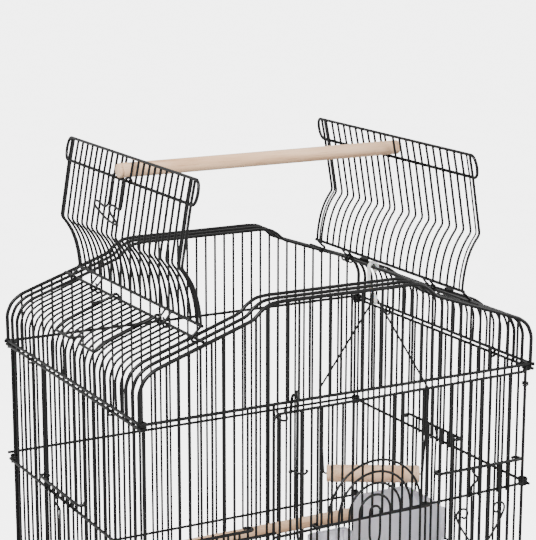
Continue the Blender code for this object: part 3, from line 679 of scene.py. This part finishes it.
hook = [(x, SWING_Y, z) for x, z in arc(HINGE, 0.0056, -70, 190, 16)]
hook += [(HINGE[0] - 0.0052, SWING_Y, 0.052)]
for along, z in arc((0.0, PIVOT[2]), 0.0046, 30, -210, 14):
    hook.append((PIVOT[0] - along * math.sin(SWING_TURN), PIVOT[1] - along * math.cos(SWING_TURN), z))
tubes("swing_hook_loop", [(hook, 0.0021)], "cage", WHITE, ("swing_hook",), 5)
half_path = [(BAR_HALF - 0.003, BAR_Z), (0.0590, BAR_Z), (0.0648, -0.0750), (0.0045, PIVOT[2] - 0.005),
             (0.0020, PIVOT[2])]
path = [on_swing(-along, z) for along, z in half_path]
path += [on_swing(along, z) for along, z in reversed(half_path)]
tubes("swing_wire_frame", [(bend(path, 0.003), R_THIN)], "swing", stands_for=("swing_wire",), sides=3)
bar_start, bar_end = on_swing(-BAR_HALF, BAR_Z + Z_TOP), on_swing(BAR_HALF, BAR_Z + Z_TOP)
dowel("swing_bar_dowel", "swing_bar", "swing", bar_start, bar_end, BAR_R, SWING_WOOD, 0.0040)


# ---------------------------------------------------------------- main door, small sliding door and latch
def at_door(x, z, out=0.0):
    return (x, DOOR_Y - out, z)


def door_top(x):
    share = (x - DOOR_LEFT_X) / (DOOR_RIGHT_X - DOOR_LEFT_X)
    return DOOR_TOP_LEFT + (DOOR_TOP_RIGHT - DOOR_TOP_LEFT) * share


frame_path = [at_door(DOOR_RIGHT_X, DOOR_TOP_RIGHT), at_door(DOOR_RIGHT_X, DOOR_BOTTOM),
              at_door(DOOR_LEFT_X, DOOR_BOTTOM), at_door(DOOR_LEFT_X, DOOR_TOP_LEFT),
              at_door(DOOR_RIGHT_X, DOOR_TOP_RIGHT)]
runs = [(bend(frame_path, 0.009, 6), R_POST)]
edges = (INNER_LEFT, INNER_RIGHT, FEEDER_INNER, FEEDER_OUTER)
for x in edges:
    runs.append(upright(x, DOOR_BOTTOM, door_top(x), DOOR_Y + WIRE_IN, R_FINE))
for x in FRONT_BARS:
    if not between(x, DOOR_LEFT_X, DOOR_RIGHT_X, 0.006) or min(abs(x - edge) for edge in edges) < 0.0035:
        continue
    if between(x, INNER_LEFT, INNER_RIGHT) or between(x, FEEDER_INNER, FEEDER_OUTER):
        runs.append(upright(x, LEVEL_B - 0.001, door_top(x), DOOR_Y + WIRE_IN))
        runs.append(upright(x, DOOR_BOTTOM, LEVEL_C + 0.001, DOOR_Y + WIRE_IN))
    else:
        runs.append(upright(x, DOOR_BOTTOM, door_top(x), DOOR_Y + WIRE_IN))
for left_z, right_z in ((LEVEL_B - 0.0025, LEVEL_B - 0.0025 + DOOR_SAG), (LEVEL_C, LEVEL_C)):
    rail = [at_door(DOOR_LEFT_X - 0.001, left_z, RAIL_OUT), at_door(DOOR_RIGHT_X + 0.001, right_z, RAIL_OUT)]
    runs.append((rail, 0.0015))
tubes("front_door_wires", runs, "front_door", stands_for=("front_door",), sides=3)

# The small sliding door: nested arches, the smallest one narrowed below like a keyhole.
inner_top = LEVEL_B + 0.0008
sill_z = -0.2565
cross_z = LEVEL_B - 0.062
runs = []
for number in range(ARCHES):
    radius = ARCH_STEP * (number + 0.5)
    legs = [(ARCH_X - radius, INNER_Y, sill_z)]
    legs += [(x, INNER_Y, z) for x, z in arc((ARCH_X, LEVEL_B + ARCH_LIFT), radius, 180, 0, 12 + 4 * number)]
    legs.append((ARCH_X + radius, INNER_Y, sill_z))
    if number == 0:
        keyhole = [(ARCH_X - radius, INNER_Y, LEVEL_B - 0.020), (ARCH_X - 0.0030, INNER_Y, LEVEL_B - 0.036),
                   (ARCH_X - 0.0078, INNER_Y, cross_z)]
        mirrored = [(2 * ARCH_X - x, y, z) for x, y, z in reversed(keyhole)]
        legs = smooth(keyhole[::-1] + legs[1:-1] + mirrored[::-1], 3)
    runs.append((legs, R_WIRE))
bar = [(x, y, inner_top) for x, y in arc((INNER_LEFT, DOOR_Y + WIRE_IN), RING_R, 60, 270, 8)]
bar += [(x, y, inner_top) for x, y in arc((INNER_RIGHT, DOOR_Y + WIRE_IN), RING_R, -90, 120, 8)]
runs.append((bar, R_SILL))
cross_y = INNER_Y - 0.0018
for z in (sill_z, cross_z):
    runs.append(([(INNER_LEFT + 0.004, cross_y, z), (INNER_RIGHT - 0.004, cross_y, z)], R_FINE))
tubes("inner_door_wires", runs, "inner_door", stands_for=("inner_door",), sides=3)

# The latch rod bends over the rail at its top and carries a small finger grip.
ROD_X, ROD_Y, ROD_R = -0.0628, -0.1892, 0.0016
rod = [(ROD_X, ROD_Y, -0.170), (ROD_X + 0.003, ROD_Y, -0.150), (ROD_X, ROD_Y, -0.130), (ROD_X, ROD_Y, 0.0020),
       (ROD_X + 0.0002, ROD_Y + 0.0030, 0.0058), (ROD_X + 0.0003, -0.1815, 0.0066),
       (ROD_X, -0.1778, 0.0036), (ROD_X - 0.0012, -0.1772, -0.0110)]
finger = [(ROD_X - 0.0085, ROD_Y - 0.0034, -0.0722), (ROD_X - 0.0105, ROD_Y - 0.0020, -0.0702),
          (ROD_X - 0.0065, ROD_Y - 0.0022, -0.0702), (ROD_X + 0.0002, ROD_Y - 0.0022, -0.0738),
          (ROD_X + 0.0070, ROD_Y - 0.0022, -0.0755), (ROD_X + 0.0105, ROD_Y - 0.0022, -0.0732),
          (ROD_X + 0.0085, ROD_Y - 0.0036, -0.0715)]
tubes("door_latch_rod", [(smooth(rod, 4), ROD_R), (smooth(finger, 4), R_FINE)], "door_latch",
      stands_for=("door_latch",), sides=3)


# ---------------------------------------------------------------- feeder doors
HEART_HALF = ((0.0240, -0.1570), (0.0216, -0.1590), (0.0184, -0.1575), (0.0170, -0.1535), (0.0190, -0.1495),
              (0.0240, -0.1480), (0.0285, -0.1493), (0.0315, -0.1540), (0.0298, -0.1610), (0.0222, -0.1740),
              (0.0100, -0.1910), (0.0004, -0.2040))


def heart_half(place, centre, sign):
    """Half of a heart scroll: a curl at the top that sweeps down to the middle."""
    return smooth([place(centre + sign * u, 0.0062, z) for u, z in HEART_HALF], 3)


def feeder_door(name, place, centre, half, top_z, scroll, kink):
    """A drop-in feeder door: ringed top bar, bars, sill and, with scroll set, a heart.

    kink is the number of the bar bent as a pull, and how far that bar is moved along.
    """
    left = [place(centre + u, v, top_z) for u, v in arc((-half, -WIRE_IN), RING_R, -60, -270, 8)]
    right = [place(centre + u, v, top_z) for u, v in arc((half, -WIRE_IN), RING_R, 90, -120, 8)]
    sill_z = LEVEL_C + 0.005
    sill = [place(centre - half + 0.004, 0.0045, sill_z), place(centre + half - 0.004, 0.0045, sill_z)]
    runs = [(left + right, R_RAIL), (sill, R_SILL)]
    kinked, shift = kink
    for number in range(FEEDER_BARS):
        u = centre + (2 * number / (FEEDER_BARS - 1) - 1) * (half - 0.012)
        if number == kinked:
            u += shift
            pull = [place(u - 0.0010, 0.0035, top_z + 0.001), place(u - 0.0010, 0.0036, top_z - 0.004),
                    place(u + 0.0022, 0.0070, top_z - 0.0095), place(u + 0.0018, 0.0072, top_z - 0.0140),
                    place(u - 0.0020, 0.0038, top_z - 0.0205), place(u - 0.0018, 0.0035, top_z - 0.0300)]
            runs.append((smooth(pull, 4) + [place(u, 0.0035, LEVEL_C + 0.004)], R_THIN))
        else:
            runs.append(([place(u, 0.0035, top_z + 0.001), place(u, 0.0035, LEVEL_C + 0.004)], R_WIRE))
    if scroll:
        runs += [(heart_half(place, centre, sign), R_THIN) for sign in (-1, 1)]
    tubes(name + "_wires", runs, name, stands_for=(name,), sides=3)


def front_panel(u, out, z):
    return (u, -HALF_Y - out, z)


def main_door_panel(u, out, z):
    return (u, DOOR_Y - out, z)


def left_panel(u, out, z):
    return (-HALF_X - out, u, z)


def right_panel(u, out, z):
    return (HALF_X + out, u, z)


feeder_mid = (FEEDER_INNER + FEEDER_OUTER) / 2
feeder_half = (FEEDER_OUTER - FEEDER_INNER) / 2
feeder_door("feeder_door_front_left", front_panel, -feeder_mid, feeder_half, -0.129, True, (3, 0.0))
feeder_door("feeder_door_front_right", main_door_panel, feeder_mid, feeder_half, -0.1045, True, (2, 0.004))
left_centre, right_centre = SIDE_FEEDER_CENTRE[-1], SIDE_FEEDER_CENTRE[1]
feeder_door("feeder_door_left", left_panel, left_centre, SIDE_FEEDER_HALF, -0.132, False, (3, 0.0))
feeder_door("feeder_door_right", right_panel, right_centre, SIDE_FEEDER_HALF, -0.1235, False, (3, 0.0))


# ---------------------------------------------------------------- cups
# Cup on the right: a bowl with rounded corners behind an upright plate with an arched top.
PLATE_TOP = (
    (0.150, -0.2030), (0.153, -0.1935), (0.160, -0.1853), (0.170, -0.1825), (0.179, -0.1850),
    (0.186, -0.1925), (0.192, -0.2020), (0.201, -0.2065), (0.216, -0.2090), (0.230, -0.2140))
PLATE_Y = (-0.0285, -0.0262)
CUP_RIM_Z = -0.212
CUP_WALL = 0.0018


def arched_cup(name, node):
    low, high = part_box(node)
    rim_z = Z_TOP + CUP_RIM_Z
    bowl_low = Vector((low.x + 0.0004, PLATE_Y[1] + 0.0001, low.z))
    bowl_high = Vector((high.x - 0.0004, high.y, rim_z))
    # Inset, height and corner radius of each row, from under the bowl, over its rim, to its inner floor.
    bowl_rows = (
        (0.0030, low.z, 0.006), (0.0008, low.z + 0.0018, 0.008), (0.0, low.z + 0.0050, 0.009),
        (0.0, rim_z - 0.0006, 0.009), (0.0006, rim_z, 0.009), (CUP_WALL - 0.0006, rim_z, 0.008),
        (CUP_WALL, rim_z - 0.0006, 0.008), (CUP_WALL, low.z + 0.0060, 0.008), (0.0045, low.z + 0.0022, 0.006))
    shell = bmesh.new()
    rows = []
    for inset, z, corner in bowl_rows:
        ring = rounded_loop(bowl_low, bowl_high, inset, z, corner, 5)
        rows.append([shell.verts.new(point) for point in ring])
    for near, far in zip(rows, rows[1:]):
        for number in range(len(near)):
            other = (number + 1) % len(near)
            shell.faces.new((near[number], near[other], far[other], far[number]))
    shell.faces.new(rows[0])
    shell.faces.new(rows[-1])
    arch = smooth([(x, 0.0, Z_TOP + z) for x, z in PLATE_TOP], 4)
    outline = [(low.x, low.z)] + [(point.x, point.z) for point in arch] + [(high.x, low.z)]
    near = [shell.verts.new((x, PLATE_Y[0], z)) for x, z in outline]
    far = [shell.verts.new((x, PLATE_Y[1], z)) for x, z in outline]
    shell.faces.new(near)
    shell.faces.new(far)
    for number in range(len(outline)):
        other = (number + 1) % len(outline)
        shell.faces.new((near[number], near[other], far[other], far[number]))
    bmesh.ops.recalc_face_normals(shell, faces=shell.faces)
    mesh = bpy.data.meshes.new(name)
    shell.to_mesh(mesh)
    shell.free()
    holder = bpy.data.objects.new(name, mesh)
    bpy.context.scene.collection.objects.link(holder)
    edge = holder.modifiers.new("edge", "BEVEL")
    edge.width = 0.0005
    edge.segments = 2
    edge.limit_method = "ANGLE"
    edge.angle_limit = math.radians(60.0)
    place_piece(name, baked(holder), CUP, "cage", (node,))


arched_cup("arched_cup", "cup_right")
for node in ("cup_back", "cup_left"):
    refined(node + "_bowl", node, CUP, "cage", 0.0008, 2)
    low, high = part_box(node)
    rim_z = high.z - Z_TOP
    x_low, x_high, y_low, y_high = low.x + 0.001, high.x - 0.001, low.y + 0.001, high.y - 0.001
    seam = (x_low, low.y + 0.012)
    corners = [seam, (x_low, y_low), (x_high, y_low), (x_high, y_high), (x_low, y_high), seam]
    rim = bend([(x, y, rim_z) for x, y in corners], 0.004)
    tubes(node + "_rim", [(rim, R_FINE)], "cage", CUP, sides=3)

# ---------------------------------------------------------------- base housing, grate and tray
refined("base_housing_shell", "base_housing", SHEET, "cage", 0.0012)
low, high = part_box("base_housing")
RIM_R = 0.0026
rim = rounded_loop(low, high, RIM_R, high.z - RIM_R - Z_TOP, 0.010, 6)
tubes("base_housing_rim", [(rim, RIM_R, "loop")], "cage", SHEET, sides=4)

low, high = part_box("grate")
grate_z = (low.z + high.z) / 2 - Z_TOP
runs = []
GRATE_GAPS = 36
for number in range(1, GRATE_GAPS):
    x = low.x + (high.x - low.x) * number / GRATE_GAPS
    runs.append(([(x, low.y + 0.0015, grate_z + 0.0008), (x, high.y - 0.0015, grate_z + 0.0008)], R_WIRE))
for x in (low.x + 0.0016, high.x - 0.0016):
    runs.append(([(x, low.y, grate_z), (x, high.y, grate_z)], R_RAIL))
for share in (0.006, 0.333, 0.667, 0.994):
    y = low.y + (high.y - low.y) * share
    runs.append(([(low.x, y, grate_z - 0.0006), (high.x, y, grate_z - 0.0006)], R_FINE))
tubes("grate_wires", runs, "grate", stands_for=("grate",))

refined("tray_pan", "tray", TRAY, "tray", 0.0009)
low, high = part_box("tray")
LIP_R = 0.0016
runs = [(rounded_loop(low, high, LIP_R, high.z - LIP_R - Z_TOP, 0.004), LIP_R, "loop")]
# Two pairs of moulded lines on the tray's front.
for z in (low.z + 0.010 - Z_TOP, low.z + 0.018 - Z_TOP):
    for start, end in ((-0.205, -0.055), (0.055, 0.205)):
        runs.append(([(start, low.y + 0.0006, z), (end, low.y + 0.0006, z)], 0.0011))
tubes("tray_lip", runs, "tray", TRAY, sides=3)


# ---------------------------------------------------------------- stand
CORNERS = ("front_left", "front_right", "back_left", "back_right")
SCREW_HEIGHTS = (0.675, 0.228)
SCREW_HEAD = ((0.0, 0.0042), (0.0007, 0.0042), (0.0016, 0.0034), (0.0022, 0.0020), (0.0023, 0.0008))
PLUG = ((0.0, 0.0082), (0.0010, 0.0086), (0.0028, 0.0086), (0.0036, 0.0078))
for corner in CORNERS:
    node = "leg_" + corner
    refined(node + "_tube", node, SHEET, "cage", 0.0016, 3)
    low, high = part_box(node)
    centre = (low + high) / 2
    foot = (centre.x, centre.y, low.z - 0.0003)
    turned(node + "_plug", PLUG, foot, (0, 0, 1), CASTER, "cage", segments=24)
    out_y = -1 if centre.y < 0 else 1
    face_y = high.y if out_y > 0 else low.y
    for z in SCREW_HEIGHTS:
        turned(f"{node}_screw_{int(z * 1000)}", SCREW_HEAD, (centre.x, face_y, z), (0, out_y, 0), STEEL,
               "cage", segments=18)
refined("stand_ring_band", "stand_ring", SHEET, "cage", 0.0008)
refined("shelf_pan", "shelf", SHEET, "cage", 0.0008)
low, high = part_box("shelf")
EDGE_R = 0.0020
runs = [(rounded_loop(low, high, EDGE_R, high.z - EDGE_R - Z_TOP, 0.003), EDGE_R, "loop")]
rib_z = low.z + 0.0022 - Z_TOP
for x in (-0.14, -0.07, 0.0, 0.07, 0.14):
    runs.append(([(x, low.y + 0.025, rib_z), (x, high.y - 0.025, rib_z)], R_SILL))
tubes("shelf_edge_and_ribs", runs, "cage", SHEET, sides=3)

WHEEL_R, BORE_R = 0.025, 0.0036
# Half of a wheel's section: distance in from its side face, and radius, from the bore out to the tread.
HALF_WHEEL = ((0.0030, BORE_R), (0.0012, 0.0066), (0.0012, 0.0084), (0.0034, 0.0098), (0.0034, 0.0168),
              (0.0, 0.0184), (0.0, 0.0206), (0.0012, 0.0232), (0.0034, 0.0247), (0.0056, WHEEL_R),
              (0.0076, WHEEL_R), (0.0080, 0.0242))
for corner in CORNERS:
    fork = "caster_fork_" + corner
    refined(fork + "_body", fork, CASTER, "caster_" + corner, 0.0007)
    wheel = "caster_wheel_" + corner
    low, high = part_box(wheel)
    centre, width = (low + high) / 2, high.y - low.y
    profile = list(HALF_WHEEL) + [(width - along, r) for along, r in reversed(HALF_WHEEL)]
    side_face = (centre.x, low.y, centre.z)
    turned(wheel + "_tyre", profile, side_face, (0, 1, 0), TYRE, "wheel_" + corner, (wheel,), 36)

# ---------------------------------------------------------------- floor, light and camera
FLOOR_HALF = 45.0
FLOOR_GLOW = 4.6
shell = bmesh.new()
bmesh.ops.create_grid(shell, x_segments=2, y_segments=2, size=FLOOR_HALF)
floor_mesh = bpy.data.meshes.new("studio_floor")
shell.to_mesh(floor_mesh)
shell.free()
floor = bpy.data.objects.new("studio_floor", floor_mesh)
bpy.context.scene.collection.objects.link(floor)
floor_mat, tree, shader = new_material("studio_floor_paint")
mottle = noise_on(tree, 3.0)
pale = ramp_from(tree, mottle.outputs["Fac"], ((0.4, (0.90, 0.90, 0.90)), (0.6, (0.92, 0.92, 0.92))))
tree.links.new(pale.outputs["Color"], shader.inputs["Base Color"])
shader.inputs["Roughness"].default_value = 0.9
shader.inputs["Specular IOR Level"].default_value = 0.1
tree.links.new(pale.outputs["Color"], shader.inputs["Emission Color"])
shader.inputs["Emission Strength"].default_value = FLOOR_GLOW
floor_mesh.materials.append(floor_mat)
floor.visible_diffuse = False
floor.visible_glossy = False

world = bpy.data.worlds.new("studio_light")
bpy.context.scene.world = world
world.use_nodes = True
world.node_tree.nodes["Background"].inputs["Color"].default_value = (1.0, 1.0, 1.0, 1.0)
world.node_tree.nodes["Background"].inputs["Strength"].default_value = 1.0


def softbox(name, place, target, size, power):
    light = bpy.data.lights.new(name, "AREA")
    light.shape = "RECTANGLE"
    light.size, light.size_y = size
    light.energy = power
    lamp = bpy.data.objects.new(name, light)
    bpy.context.scene.collection.objects.link(lamp)
    lamp.location = place
    lamp.rotation_euler = (Vector(target) - Vector(place)).to_track_quat("-Z", "Y").to_euler()


softbox("key_softbox", (-1.6, -1.8, 3.6), (0.0, 0.0, 1.4), (1.6, 1.2), 150.0)
softbox("fill_softbox", (2.4, -1.2, 2.4), (0.0, 0.0, 1.2), (1.2, 1.6), 40.0)

CAMERA_AT = Vector((-0.9211, -1.7033, Z_TOP + 0.5293))
FORWARD = Vector((0.46637, 0.85694, -0.21944)).normalized()
UP = Vector((0.10397, 0.19325, 0.97563))
right = FORWARD.cross(UP).normalized()
true_up = right.cross(FORWARD)
camera_data = bpy.data.cameras.new("camera")
camera_data.sensor_fit = "HORIZONTAL"
camera_data.sensor_width = 36.0
camera_data.lens = 120.7
camera = bpy.data.objects.new("camera", camera_data)
bpy.context.scene.collection.objects.link(camera)
turn = Matrix((right, true_up, -FORWARD)).transposed()
camera.matrix_world = Matrix.Translation(CAMERA_AT) @ turn.to_4x4()
bpy.context.scene.camera = camera
